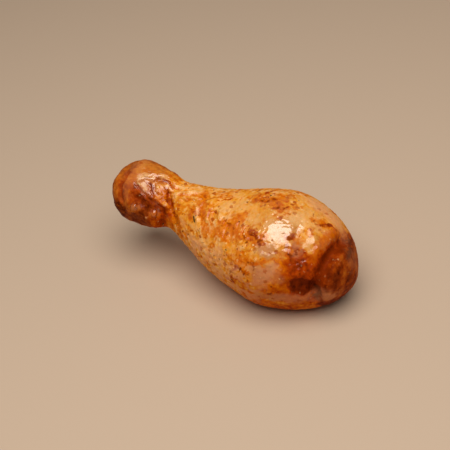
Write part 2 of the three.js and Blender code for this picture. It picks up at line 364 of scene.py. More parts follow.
# Thin browned lines, each a path of (distance, degrees), half its width and its strength.
BROWNED = (
    (
        [(57.2, -15), (58.8, -7), (60.6, -1), (63.2, 2), (65.3, -2), (68.1, -1), (70.8, 7), (69.2, 12)],
        0.9,
        1.0,
    ),
    ([(58.4, -5), (59.6, -10), (61, -17)], 0.8, 0.9),
    ([(70.8, 7), (73.9, 6), (75.2, 2)], 0.7, 0.9),
    ([(91.2, 1), (92.2, -3), (94, -8), (96.5, -11)], 0.8, 0.9),
    ([(40, 14), (43.6, 5), (47.5, -2)], 0.4, 0.8),
    ([(33, 20), (37.5, 10), (41, -4)], 0.5, 0.6),
    ([(62.2, 50), (65, 43), (68, 45), (70.4, 47), (72, 51)], 1.0, 0.9),
    ([(63.2, 41), (65.8, 39), (68, 41)], 0.7, 0.8),
    ([(50, 45), (52.4, 39), (55, 36)], 0.6, 0.8),
    ([(61.6, 84), (64, 76), (67.7, 79)], 0.8, 0.8),
    ([(62, 92), (65, 89), (69, 90)], 0.7, 0.7),
    ([(56, 93), (60, 97), (64, 96)], 0.5, 0.7),
    ([(28, 36), (31, 41), (35, 43)], 0.5, 0.6),
    ([(83, 47), (85.4, 50), (87.4, 46)], 0.9, 0.9),
    # This row and those below follow the creases of the knuckle and the neck: their dark is partly
    # browning and partly painted shade in the creases.
    ([(13.4, 24), (15, 29), (16.2, 36)], 0.7, 0.8),
    ([(6, 21), (6.8, 16), (8.3, 9), (10.5, 5), (12.3, 5), (14.3, 8)], 0.6, 1.0),
    ([(5.2, 26), (7.1, 33), (8.6, 41), (10.6, 48)], 0.5, 0.9),
    ([(-2.7, 29), (-0.3, 37), (3.1, 45), (5.8, 49), (8, 54), (11, 57), (15, 62)], 0.6, 0.9),
    ([(-6, 20), (-6.8, 37), (-7.9, 47), (-7, 60), (-5.6, 72)], 1.0, 0.7),
    ([(17, 40), (17.6, 45), (18.8, 51), (20, 57)], 1.3, 1.0),
    ([(20.4, 62), (21.4, 68), (22.6, 73)], 0.8, 0.9),
    ([(24.4, 80), (25.2, 86)], 0.7, 0.7),
)

# Browned spots: distance, degrees, size and strength.
SPOTS = (
    (38.9, 64, 0.6, 0.8),
    (42.8, 73, 0.8, 0.8),
    (43.5, 71, 0.6, 0.7),
    (46.7, 64, 0.7, 0.6),
    (50.0, 45, 0.8, 0.7),
    (50.6, 75, 0.7, 0.8),
    (52.3, 39, 0.9, 0.9),
    (55.4, 68, 0.8, 0.9),
    (55.5, 78, 0.7, 0.7),
    (55.7, 28, 0.6, 0.6),
    (55.8, 14, 0.6, 0.6),
    (57.8, 79, 0.8, 0.8),
    (58.1, 71, 0.7, 0.7),
    (61.4, 86, 1.1, 0.8),
    (62.3, 94, 1.2, 0.9),
    (62.6, 49, 0.9, 0.9),
    (63.5, 40, 0.8, 0.8),
    (65.1, 77, 1.3, 1.0),
    (65.8, 43, 1.0, 1.0),
    (65.2, 51, 0.9, 1.0),
    (67.7, 80, 1.0, 0.9),
    (68.3, 45, 1.1, 1.0),
    (70.6, 48, 1.1, 1.0),
    (71.9, 51, 0.9, 0.9),
    (68.8, 68, 0.9, 0.8),
    (72.0, 71, 0.9, 0.8),
    (73.7, 62, 0.9, 0.7),
    (77.4, 67, 0.7, 0.7),
    (80.7, 91, 1.0, 0.9),
    (32.2, 84, 0.9, 0.6),
    (57.2, -15, 1.0, 0.8),
    (58.6, -7, 1.0, 0.8),
    (61.6, 1, 1.2, 0.9),
    (64.4, 0, 1.6, 0.9),
    (66.8, -2, 1.0, 0.9),
    (70.4, 7, 1.2, 1.0),
    (74.0, 5, 0.8, 0.8),
    (78.8, 33, 0.7, 0.8),
    (82.6, 34, 1.6, 1.0),
    (87.0, 44, 1.0, 0.9),
    (85.2, 49, 1.1, 0.9),
    (91.8, 0, 1.0, 0.9),
    (93.2, -7, 1.0, 0.9),
    (96.5, -11, 0.9, 0.7),
    (104.7, 51, 1.1, 1.0),
    (104.7, 57, 1.0, 1.0),
    (108.6, 46, 0.9, 0.9),
    (108.9, 23, 0.9, 0.8),
    (106.2, -3, 0.9, 0.8),
    (14.0, 24, 0.7, 0.9),
    (17.2, 41, 1.3, 1.0),
    (19.3, 52, 1.1, 1.0),
    (21.0, 66, 0.9, 0.9),
    (22.4, 16, 0.6, 0.7),
    (24.7, 78, 0.9, 0.9),
    (31.6, 34, 0.6, 0.8),
)

# Small pale beads of fat that stand up from the skin, their pale colour partly a painted glint:
# distance, degrees and size.
BEADS = (
    (64.2, 49, 0.8),
    (68.7, 45, 0.9),
    (67.5, 56, 0.7),
    (64.5, 57, 0.8),
    (66.5, 62, 0.7),
    (71.8, 64, 0.8),
    (64.6, 64, 0.6),
    (62, 54, 0.6),
    (70, 53, 0.6),
    (73.5, 58, 0.7),
    (60.4, 47, 0.6),
    (51.5, 60, 0.6),
    (57, 63, 0.6),
    (101.3, 32, 0.6),
    (102.9, 28, 0.6),
    (100.7, 60, 0.7),
    (9.3, 88, 0.9),
    (-1.4, 33, 0.7),
    (17.2, 28, 0.8),
    (20.4, 40, 0.6),
    (24, 50, 0.6),
    (29.6, 104, 0.8),
    (33.7, 103, 0.7),
    (36.6, 100, 0.8),
    (40.2, 98, 0.9),
    (43.4, 100, 0.7),
    (47.5, 98, 0.8),
    (51, 100, 0.7),
    (35.5, 91, 0.7),
    (44.4, 92, 0.7),
)

BEAD_HEIGHT = 0.4  # in millimetres

# Where the seasoning lies thickest: distance, degrees, reach each way and share of the grains.
SEASONED = (
    (64, 46, 9, 8, 0.16),
    (62, 76, 12, 6, 0.2),
    (44, 84, 12, 6, 0.1),
    (50, 40, 9, 8, 0.08),
    (62, 0, 10, 8, 0.08),
    (24, -14, 12, 5, 0.08),
    (22, 50, 5, 10, 0.07),
    (34, 50, 6, 12, 0.05),
    (90, 5, 7, 10, 0.05),
    (106, 40, 4, 16, 0.05),
)

# ---- Sizes and places of the rest ---------------------------------------------------------
NOISE_SEED = 2  # of the noise vectors, which differ from run to run without one
SEED_STEP = 13.7  # how far apart the noise of one seed and the next is taken
FLOOR_GAP = 0.00002  # how far the skin stays above the floor, in metres

# The sockets of a Mix node that take and give colours.
COLOUR_BELOW = 6
COLOUR_ABOVE = 7
COLOUR_RESULT = 2

# The seasoning: how far its grains stray from where it lies thickest, compared to the reach,
# how far they lean, in radians, and how small the smallest is, compared to the largest.
STRAY = 0.6
LEAN = 0.25
SMALLEST = 0.4
LARGE_SCRAP = (34, 51, -0.75)  # the largest leaf scrap: distance, degrees and turn in radians
SMALL_SCRAPS = (0.23, 0.42)  # least and greatest size of the others, compared to the largest

# The stage, in metres, and the camera's sensor, in millimetres.
CALF = Vector((0.033, 0, 0.024))
OVERHEAD = Vector((0.08, -0.18, 0.67))  # from the calf to the overhead light
SENSOR_WIDTH = 36


def mid_line(x):
    return np.interp(x, STATIONS[:, 0], STATIONS[:, 2])


def half_thickness(x):
    return np.interp(x, STATIONS[:, 0], STATIONS[:, 1])


def smooth(value, low, high):
    """0 below low, 1 above high, and an even curve between them."""
    part = np.clip((value - low) / (high - low), 0, 1)
    return part * part * (3 - 2 * part)


def hump(distance, width):
    return np.exp(-((distance / width) ** 2))


def along_path(path, steps=14):
    """Points spaced along a smooth line through the path's places."""
    path = np.array(path, float)
    padded = np.vstack([2 * path[0] - path[1], path, 2 * path[-1] - path[-2]])
    points = []
    for a, b, c, d in zip(padded, padded[1:], padded[2:], padded[3:]):
        for t in np.linspace(0, 1, steps, endpoint=False):
            points.append(
                0.5 * (2 * b + (c - a) * t + (2 * a - 5 * b + 4 * c - d) * t**2)
                + 0.5 * (3 * b - a - 3 * c + d) * t**3
            )
    return np.vstack([points, path[-1]])


def most(layers):
    """The greatest of several layers at each point."""
    return np.max(list(layers), axis=0)


def blend(value, cover, target):
    """The value, moved towards the target as far as the cover says."""
    return value + cover * (target - value)


class Places:
    """Where each point of a mesh lies on the drumstick, in millimetres and degrees."""

    def __init__(self, mesh):
        points = read_points(mesh) * 1000 - np.array(KNUCKLE)
        cos, sin = math.cos(BONE_RISE), math.sin(BONE_RISE)
        self.x = points[:, 0] * cos - points[:, 2] * sin
        height = points[:, 0] * sin + points[:, 2] * cos
        middle = mid_line(self.x)
        self.side = SIDE_BEND * middle - points[:, 1]
        self.high = height - middle
        self.angle = np.degrees(np.arctan2(self.side, self.high))
        self.half = half_thickness(self.x)

    def shifted(self, far, size, seed):
        """The same places, each moved a little way by noise, for ragged edges."""
        other = copy.copy(self)
        other.x = self.x + far * self.lumps(size, size, seed)
        turn = far * self.lumps(size, size, seed + 0.5) / np.maximum(self.half, LEAST_HALF)
        other.angle = self.angle + np.degrees(turn)
        return other

    def round_gap(self, angle):
        """How far round the bone line each point is from an angle, in millimetres."""
        turn = (self.angle - angle + 180) % 360 - 180
        return np.radians(turn) * np.maximum(self.half, LEAST_HALF)

    def near(self, x, angle, along, round_):
        """1 at a place, fading to 0 at about twice the reach that is given each way."""
        away = ((self.x - x) / along) ** 2 + (self.round_gap(angle) / round_) ** 2
        return np.exp(-away)

    def patch(self, x, angle, along, round_):
        """1 all over a place, with an edge at about the reach that is given each way."""
        return smooth(self.near(x, angle, along, round_), 0.12, 0.75)

    def total(self, table):
        """The sum of a table's amounts, each spread round its own place."""
        return sum(amount * self.near(*place) for *place, amount in table)

    def strongest(self, table):
        """The greatest of a table's strengths, each over its own patch."""
        return most(strength * self.patch(*place) for *place, strength in table)

    def to_path(self, path):
        """Each point's distance from a path, and its share of the way along it."""
        nearest = np.full(len(self.x), np.inf)
        share = np.zeros(len(self.x))
        points = along_path(path)
        for i, (x, angle) in enumerate(points):
            gap = np.hypot(self.x - x, self.round_gap(angle))
            closer = gap < nearest
            nearest[closer] = gap[closer]
            share[closer] = i / (len(points) - 1)
        return nearest, share

    def line(self, path, width, strength):
        """The strength along a path, with soft edges and with ends that fade."""
        gap, share = self.to_path(path)
        fade = smooth(np.minimum(share, 1 - share), -0.1, 0.2)
        return strength * fade * smooth(-gap, -1.6 * width, -0.5 * width)

    def lumps(self, along, round_, seed, octaves=1, warp=0.0):
        """Smooth noise from about -1 to 1, with lumps as long and as wide as given."""
        shape = np.column_stack([self.x / along, self.side / round_, self.high / round_])
        shape += seed * SEED_STEP
        if warp:
            bend = [noise.noise_vector(Vector(p) * 0.45) for p in shape]
            shape = shape + warp * np.array(bend)
        if octaves == 1:
            return np.array([noise.noise(p) for p in shape])
        return np.array([noise.fractal(p, 0.9, 2.1, octaves) for p in shape])

    def ridges(self, along, round_, seed, warp=1.0):
        """Noise whose crests are winding lines: 1 on a line, about -1 far from any."""
        return 1 - 2.6 * np.abs(self.lumps(along, round_, seed, warp=warp))


# ---- Small helpers ------------------------------------------------------------------------
def read_points(mesh):
    points = np.zeros(len(mesh.vertices) * 3, np.float32)
    mesh.vertices.foreach_get("co", points)
    return points.reshape(-1, 3).astype(float)


def read_normals(mesh):
    normals = np.zeros(len(mesh.vertices) * 3, np.float32)
    mesh.vertices.foreach_get("normal", normals)
    return normals.reshape(-1, 3).astype(float)


def write_points(mesh, points):
    mesh.vertices.foreach_set("co", points.astype(np.float32).ravel())
    mesh.update()


def write_mask(mesh, name, values):
    mask = mesh.attributes.new(name, "FLOAT", "POINT")
    mask.data.foreach_set("value", np.clip(values, 0, 1).astype(np.float32))


def choose(piece):
    bpy.ops.object.select_all(action="DESELECT")
    piece.select_set(True)
    bpy.context.view_layer.objects.active = piece


def finish_with(piece, kind, **values):
    """Adds a modifier to the piece and applies it."""
    choose(piece)
    modifier = piece.modifiers.new(kind.lower(), kind)
    for name, value in values.items():
        setattr(modifier, name, value)
    bpy.ops.object.modifier_apply(modifier=modifier.name)


def linear(colour):
    """A colour as seen on screen, 0 to 255, as the renderer's own values."""
    parts = [c / 255 for c in colour]
    return [p / 12.92 if p <= 0.04045 else ((p + 0.055) / 1.055) ** 2.4 for p in parts]


def colour_setting(name, description, *colour):
    """A setting for a colour, with its default as seen on screen."""
    return FloatVectorProperty(
        name=name, description=description, default=linear(colour), subtype="COLOR"
    )


class Surface:
    """A tree of shader nodes: each method adds one node, with what feeds it."""

    def __init__(self, tree):
        self.nodes = tree.nodes
        self.links = tree.links

    def feed(self, socket, value):
        """Links another node's output to a socket, or sets the socket itself."""
        if isinstance(value, bpy.types.NodeSocket):
            self.links.new(value, socket)
        elif socket.type == "RGBA":
            socket.default_value = (*value, 1)
        else:
            socket.default_value = value

    def feed_all(self, node, inputs):
        for name, value in inputs.items():
            self.feed(node.inputs[name], value)

    def add(self, kind, inputs, **settings):
        node = self.nodes.new(kind)
        for name, value in settings.items():
            setattr(node, name, value)
        self.feed_all(node, inputs)
        return node

    def place(self):
        return self.add("ShaderNodeTexCoord", {}).outputs["Object"]

    def mask(self, name):
        return self.add("ShaderNodeAttribute", {}, attribute_name=name).outputs["Fac"]

    def noise(self, inputs):
        return self.add("ShaderNodeTexNoise", {"Vector": self.place(), **inputs})

    def calc(self, operation, *values):
        inputs = dict(enumerate(values))
        return self.add("ShaderNodeMath", inputs, operation=operation).outputs[0]

    def step(self, value, low, high):
        """0 below low, 1 above high, and an even curve between them."""
        inputs = {"Value": value, "From Min": low, "From Max": high}
        node = self.add("ShaderNodeMapRange", inputs, interpolation_type="SMOOTHSTEP")
        return node.outputs["Result"]

    def mix(self, amount, below, above, blend_type="MIX"):
        """The colour above laid over the one below, as far as the amount says."""
        inputs = {"Factor": amount, COLOUR_BELOW: below, COLOUR_ABOVE: above}
        node = self.add("ShaderNodeMix", inputs, data_type="RGBA", blend_type=blend_type)
        return node.outputs[COLOUR_RESULT]

    def ramp(self, value, tones):
        """The colours of the tones, each at its own value and shading into the next."""
        node = self.add("ShaderNodeValToRGB", {"Fac": value})
        stops = node.color_ramp.elements
        while len(stops) < len(tones):
            stops.new(0.5)
        for stop, (at, colour) in zip(stops, tones):
            stop.position = at
            stop.color = (*colour, 1)
        return node.outputs["Color"]

    def grain(self, scale, detail, middle, spread):
        """The fine grain, placed with its own values."""
        inputs = {"Scale": scale, "Detail": detail, "Middle": middle, "Spread": spread}
        return self.add("ShaderNodeGroup", inputs, node_tree=grain_group())


def grain_group():
    """The fine grain that every surface has: a value that it spreads, and a height."""
    group = bpy.data.node_groups.get("Fine grain")
    if group:
        return group
    group = bpy.data.node_groups.new("Fine grain", "ShaderNodeTree")
    for name in ("Scale", "Detail", "Middle", "Spread"):
        group.interface.new_socket(name, in_out="INPUT", socket_type="NodeSocketFloat")
    for name in ("Value", "Height"):
        group.interface.new_socket(name, in_out="OUTPUT", socket_type="NodeSocketFloat")
    inner = Surface(group)
    given = inner.add("NodeGroupInput", {}).outputs
    height = inner.noise({"Scale": given["Scale"], "Detail": given["Detail"]}).outputs["Fac"]
    centred = inner.calc("SUBTRACT", height, 0.5)
    value = inner.calc("MULTIPLY_ADD", centred, given["Spread"], given["Middle"])
    inner.add("NodeGroupOutput", {"Value": value, "Height": height})
    return group


def new_surface(name):
    material = bpy.data.materials.new(name)
    material.use_nodes = True
    return material, Surface(material.node_tree)


# ---- Skin ---------------------------------------------------------------------------------
def finer_copy(node, name, grain):
    """A copy of a CAD node's mesh with its facets rounded off, cut into small even faces."""
    piece = bpy.data.objects.new(name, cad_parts[node].data.copy())
    bpy.context.collection.objects.link(piece)
    piece.data.materials.clear()
    choose(piece)
    bpy.ops.object.mode_set(mode="EDIT")
    bpy.ops.mesh.select_all(action="SELECT")
    bpy.ops.mesh.remove_doubles(threshold=1e-6)
    bpy.ops.mesh.tris_convert_to_quads()
    bpy.ops.object.mode_set(mode="OBJECT")
    finish_with(piece, "SUBSURF", levels=2, render_levels=2)
    finish_with(piece, "REMESH", mode="VOXEL", voxel_size=grain)
    finish_with(piece, "SMOOTH", factor=0.5, iterations=4)
    return piece


def fine_wrinkles(places, knuckle):
    """The height of small wrinkles, pores and gooseflesh, in millimetres."""
    shank = smooth(places.x, 12, 24) * (1 - smooth(places.x, 48, 74))
    under = smooth(places.angle, 56, 74) * (places.angle < 150)
    calf = smooth(places.x, 44, 62)
    on_top = places.near(25, 4, 16, 12)
    wet = places.near(81, 30, 12, 11)
    shine = places.near(6, 26, 9, 7)
    stippled = places.near(90, 55, 5, 4)
    arcs = places.near(46, 36, 16, 14)
    charred = places.near(66, 0, 10, 7)
    smoother = places.near(47, 6, 13, 10)
    rings = shank * (1 - 0.8 * on_top) * (1 - 0.7 * under) * (1 - 0.7 * smoother)
    fine = 0.3 * rings * places.ridges(2.4, 7, 1, warp=1.8)
    fine += 0.5 * on_top * places.ridges(8, 1.8, 2, warp=1.3)
    fine += 0.15 * arcs * places.ridges(1.5, 4.5, 9, warp=1.4)
    fine += 0.24 * charred * places.ridges(2.2, 3.2, 11, warp=1.8)
    fine += 0.13 * calf * (1 - 0.6 * wet) * places.ridges(3.4, 5, 5, warp=1.5)
    fine += (0.12 + 0.3 * under * shank) * (1 - 0.5 * knuckle) * places.lumps(1.5, 1.5, 6)
    fine += 0.14 * under * shank * places.lumps(0.9, 0.9, 28)
    fine += (0.08 + 0.08 * shine + 0.3 * stippled) * places.lumps(0.8, 0.8, 8)
    fine += 0.09 * wet * places.ridges(2.2, 2.6, 10, warp=2.2)
    fine += 0.2 * shine * places.ridges(1.8, 2.2, 10, warp=2.0)
    return fine


def raise_folds(places):
    """The height of the folds, how far each point is in a crease, where the colour is darkened as painted
    shade, and how far up a thin fold, where it is paled partly as painted highlight.
    """
    rise, deep, high = np.zeros((3, len(places.x)))
    wander = 0.6 * places.lumps(2.2, 2.2, 7)
    for path, width, height in FOLDS.values():
        gap, share = places.to_path(path)
        gap = np.abs(gap + wander)
        fade = smooth(np.minimum(share, 1 - share), -0.02, 0.18)
        shape = hump(gap, width)
        if height < 0:
            deep = np.maximum(deep, fade * min(-height, 1) * hump(gap, 1.5 * width))
            shape = shape - LIP * hump(gap - 2.2 * width, width)
        elif width < THIN_FOLD:
            high = np.maximum(high, fade * smooth(height, 0.3, 0.7) * shape)
        rise += height * fade * shape
    pit, _ = places.to_path(PIT)
    rise -= HOLLOW_DEPTH * smooth(places.near(92.8, 79, 4.6, 4.2), 0.25, 0.8)
    rise -= PIT_DEPTH * smooth(-pit, -2.6, -0.6)
    return rise, deep, high


def wrinkle(piece, places, settings):
    """Raises the skin's folds, wrinkles and blisters out of the smooth copy."""
    mesh = piece.data
    knuckle = 1 - smooth(places.x, 4, 24)
    fine = fine_wrinkles(places, knuckle)
    broad = knuckle * (0.5 * places.lumps(4.4, 4.4, 3) + 0.16 * places.lumps(1.9, 1.9, 4))
    beads = most(places.near(x, angle, size, size) for x, angle, size in BEADS)
    folds, deep, high = raise_folds(places)
    rise = settings.wrinkles * (fine + broad + BEAD_HEIGHT * beads) + settings.folds * folds
    points = read_points(mesh) + read_normals(mesh) * rise[:, None] / 1000
    points[:, 2] = np.maximum(points[:, 2], FLOOR_GAP)
    write_points(mesh, points)
    # How far each point is in a crease: the colour is darkened there as painted shade.
    write_mask(mesh, "crease", deep)
    return fine, np.maximum(high, beads)


class Zones:
    """Parts of the skin that look different: each is 1 inside the part and 0 away from it."""

    def __init__(self, places, ragged, high):
        x = ragged.x
        self.knuckle = 1 - smooth(x + 3 * places.lumps(5, 5, 18), 4, 25)
        self.low = smooth(places.round_gap(52), 0, 18) * (places.angle < 160)
        self.lobe = smooth(x, 98, 100.5)
        self.red = smooth(ragged.near(90.5, 57, 6.4, 5.2), 0.2, 0.65)
        self.hollow = smooth(places.shifted(0.6, 1.6, 24).near(92.8, 79.5, 5, 4.6), 0.25, 0.5)
        self.around = smooth(ragged.near(91.5, 74, 9.5, 13), 0.15, 0.7) * (1 - self.lobe)
        self.pit = ragged.line(*DARK_PIT)
        self.band = ragged.line(*END_BAND)
        self.shade = ragged.line(*END_SHADE)
        self.lines = most(ragged.line(path, 0.8 * width, part) for path, width, part in BROWNED)
        cream = most(ragged.line(*streak) for streak in CREAM)
        self.cream = np.maximum(0.8 * cream, 0.6 * high) * (1 - self.lines)
        self.dull = ragged.strongest(DULL)
        self.seasoned = most(ragged.near(*place) for *place, _ in SEASONED)
        self.seasoned *= smooth(places.lumps(4, 4, 19), -0.25, 0.45)
        self.spot = most(part * ragged.near(at, turn, size, size) for at, turn, size, part in SPOTS)
        thin = smooth(places.round_gap(66), 0, 5) * (places.angle < 120)
        thin = thin * smooth(x, 26, 36) * (1 - smooth(x, 72, 82))
        thin = 0.9 * thin * smooth(places.lumps(3.4, 2.6, 25, octaves=2), -0.2, 0.25)
        self.pink = np.maximum(ragged.strongest(PINK), thin)
        self.pink *= 1 - np.maximum(self.hollow, self.pit)
        self.calm = most(ragged.patch(*place) for *place, tone, _ in PATCHES if tone < PALE)
        self.sunken = most([self.hollow, self.pit, self.shade])
        self.marked = np.maximum(self.red, self.sunken)
        plain = [self.marked, 0.6 * self.around, 0.7 * self.lobe, self.band]
        self.plain = most([*plain, 0.6 * self.pink, 0.6 * self.calm, 0.4 * self.knuckle])


def roast_and_shade_mask(places, ragged, zones, fine):
    """How far each place has roasted, with painted shade in the same scale: 0 is pale, 0.5 orange and 1
    charred.
    """
    golden = ragged.near(26, 14, 12, 14)
    roast_and_shade = 0.25 + 0.34 * zones.knuckle + ragged.total(BROADLY)
    roast_and_shade += 0.16 * smooth(np.abs(places.round_gap(20)), 28, 46) * smooth(ragged.x, 24, 60)
    # Painted shade: the calf's low side darker.
    roast_and_shade += 0.2 * zones.low * smooth(ragged.x, 50, 80)
    mottled = 0.28 * places.lumps(6, 6, 11, octaves=3) + 0.2 * places.lumps(1.6, 1.6, 16)
    roast_and_shade += (1 - 0.5 * zones.knuckle) * (1 - zones.plain) * (1 - 0.6 * golden) * mottled
    roast_and_shade += 0.16 * golden * places.lumps(7, 1.8, 26, warp=0.8)
    # Painted light and shade: the crests of the fine wrinkles lighter and their grooves darker.
    roast_and_shade -= (0.42 + 0.5 * ragged.near(40, 80, 20, 10)) * fine
    for *place, tone, strength in PATCHES:
        roast_and_shade = blend(roast_and_shade, strength * ragged.patch(*place), tone)
    # Painted shade: the pink patches darker on the calf's low side.
    pink_tone = 0.22 + 0.36 * zones.low * smooth(ragged.x, 56, 84)
    roast_and_shade = blend(roast_and_shade, 0.7 * zones.pink, pink_tone)
    # Partly painted shade: the skin round the red patch and the hollow darker, low on the calf's end.
    roast_and_shade = blend(roast_and_shade, 0.85 * zones.around, 0.66 + 0.1 * places.lumps(3, 3, 20))
    roast_and_shade = blend(roast_and_shade, 0.9 * zones.band, 0.56)
    # Painted shade: the lobe at the thigh end darker, most on its lower side, with uneven browning in it.
    lobe_tone = 0.8 + 0.2 * smooth(places.round_gap(50), -3, 10) + 0.3 * places.lumps(2, 7, 20)
    roast_and_shade = blend(roast_and_shade, 0.75 * zones.lobe, lobe_tone)
    # Painted shade in the end crease.
    roast_and_shade = blend(roast_and_shade, zones.shade, 0.95)
    roast_and_shade += ragged.total(TOUCHES) + zones.knuckle * ragged.total(KNUCKLE_TOUCHES)
    roast_and_shade = blend(roast_and_shade, zones.lines, 0.86)
    change = places.lumps(1.6, 1.6, 16)
    roast_and_shade = blend(roast_and_shade, zones.red, 0.78 + 0.2 * change)
    # The hollow under the flap darker, partly dark glaze and partly painted shadow; the pit near black,
    # painted shade.
    roast_and_shade = blend(roast_and_shade, zones.hollow, 0.92 + 0.04 * change)
    return blend(roast_and_shade, zones.pit, 1.2 + 0.1 * change)


def paste_mask(places, ragged, zones, fine):
    """Where the marinade lies: in winding tracks, and in long streaks."""
    tracks = 0.7 * places.ridges(3.4, 7, 12, warp=1.9) + 0.5 * places.ridges(1.7, 3.4, 17, warp=1.6)
    lengthways = places.ridges(8, 2.0, 13, warp=1.2)
    paste = 0.42 * blend(tracks, ragged.near(24, 8, 13, 13), lengthways)
    paste += 0.5 * places.lumps(8, 8, 14, octaves=3) + 0.2 * ragged.near(60, 40, 16, 18)
    paste -= 0.3 * ragged.near(46, 16, 6, 4) + 0.9 * zones.pink + 1.2 * fine
    paste = 0.75 * smooth(paste, -0.35, 0.65) * (1 - 0.6 * zones.knuckle)
    broken = 0.8 + 0.45 * places.lumps(2.2, 2.2, 29, octaves=2)
    streaks = most(ragged.line(*streak) for streak in STREAKS)
    bare = [zones.marked, 0.8 * zones.around, 0.8 * zones.lobe, 0.7 * zones.band]
    bare = most([*bare, 0.6 * zones.pink, 0.6 * zones.calm, zones.cream])
    return np.maximum(paste, streaks * broken) * (1 - bare)


def gloss_mask(places, ragged, zones):
    """How wet the glaze looks."""
    gloss = 0.2 + ragged.total(GLAZED) + 0.34 * zones.red
    gloss += 0.3 * places.lumps(3, 3, 15, octaves=2)
    gloss -= 0.7 * smooth(ragged.x, 97, 101) + 0.5 * zones.around
    gloss -= 0.7 * smooth(zones.spot, 0.2, 0.7) + 0.9 * zones.sunken
    gloss -= 0.4 * zones.low * (1 - 0.5 * zones.knuckle) + 0.2 * zones.knuckle
    return gloss


def brown_and_shade(piece, places, fine, high):
    """Works out how far each place of the skin has roasted, where it is painted with light and shade, and
    what lies on it.
    """
    ragged = places.shifted(1.6, 3.2, 21).shifted(0.8, 1.2, 22).shifted(0.35, 0.6, 23)
    zones = Zones(places, ragged, high)
    tight = (1 - ragged.near(-1, 46, 8, 8)) * (1 - smooth(ragged.x, 8, 14))
    masks = {
        "roast_and_shade": roast_and_shade_mask(places, ragged, zones, fine),
        "paste": paste_mask(places, ragged, zones, fine),
        "gloss": gloss_mask(places, ragged, zones),
        # The lobe's share of this mask darkens it towards dark amber, as painted shade.
        "amber": zones.knuckle * tight + 0.6 * zones.lobe - zones.cream,
        # Painted shade: the calf's underside, darkened below by the underside colour.
        "under": zones.low * smooth(ragged.x, 46, 74) * (1 - zones.marked),
        "pink": zones.pink,
        "dull": zones.dull,
        "cream": zones.cream,
        "spot": zones.spot,
        "seasoned": zones.seasoned,
        "plain": zones.plain,
    }
    for name, values in masks.items():
        write_mask(piece.data, name, values)


def roasted_and_shaded_colour(surface, settings, uneven, ragged):
    """The skin's colour, from how far it has roasted and from painted shade in the same mask, with what
    lies on it in patches, some of them painted light.
    """
    calc, mask, mix, step = surface.calc, surface.mask, surface.mix, surface.step
    inputs = {"Scale": 420, "Detail": 5.0, "Roughness": 0.68, "Distortion": 0.3}
    blotch = surface.noise(inputs).outputs["Fac"]
    shift = calc("MULTIPLY", calc("SUBTRACT", blotch, 0.5), uneven)
    roast_and_shade = calc("ADD", mask("roast_and_shade"), shift)
    tones = (
        (0.0, settings.pale),
        (0.26, settings.golden),
        (0.5, settings.orange),
        (0.74, settings.red_brown),
        (1.0, settings.char),
    )
    colour = surface.ramp(roast_and_shade, tones)
    amber = mix(step(roast_and_shade, 0.3, 0.95), settings.amber, settings.dark_amber)
    for name, strength, tone in (
        ("amber", 0.75, amber),
        ("pink", 0.6, settings.pink),
        ("dull", 0.7, settings.dull),
    ):
        colour = mix(calc("MULTIPLY", mask(name), strength), colour, tone)
    marinade = mix(step(blotch, 0.38, 0.62), settings.paste, settings.deep_paste)
    for name, low, high, strength, tone in (
        ("cream", 0.2, 0.9, 0.7, settings.cream),
        ("paste", 0.2, 0.8, 0.92, marinade),
        ("spot", 0.25, 0.85, 0.85, settings.speck),
    ):
        shown = step(calc("ADD", mask(name), ragged), low, high)
        colour = mix(calc("MULTIPLY", shown, strength), colour, tone)
    return colour


def freckled(surface, settings, colour, uneven, ragged, bent):
    """The colour with small dots strewn over it: browned freckles, spice, and pale dots of fat that are
    partly painted glints.
    """
    calc, step = surface.calc, surface.step
    bare = calc("SUBTRACT", 1, surface.mask("amber"))
    off_knuckle = calc("MULTIPLY", uneven, calc("MULTIPLY", bare, bare))
    for scale, size, share, tone, where in (
        (300, 0.34, 0.57, settings.freckle, uneven),
        (560, 0.3, 0.9, settings.speck, uneven),
        # Pale dots: partly painted glints.
        (640, 0.3, 0.88, settings.cream, off_knuckle),
    ):
        cells = surface.add("ShaderNodeTexVoronoi", {"Vector": bent, "Scale": scale})
        drawn = surface.add("ShaderNodeSeparateColor", {"Color": cells.outputs["Color"]})
        edge = calc("ADD", cells.outputs["Distance"], calc("MULTIPLY", ragged, 0.4))
        dot = calc("SUBTRACT", 1, step(edge, 0.7 * size, size))
        chance = calc("MULTIPLY_ADD", surface.mask("seasoned"), 0.35, drawn.outputs[0])
        dot = calc("MULTIPLY", dot, step(chance, share, share + 0.15))
        dot = calc("MULTIPLY", calc("MULTIPLY", dot, where), 0.8)
        colour = surface.mix(dot, colour, tone)
    return colour


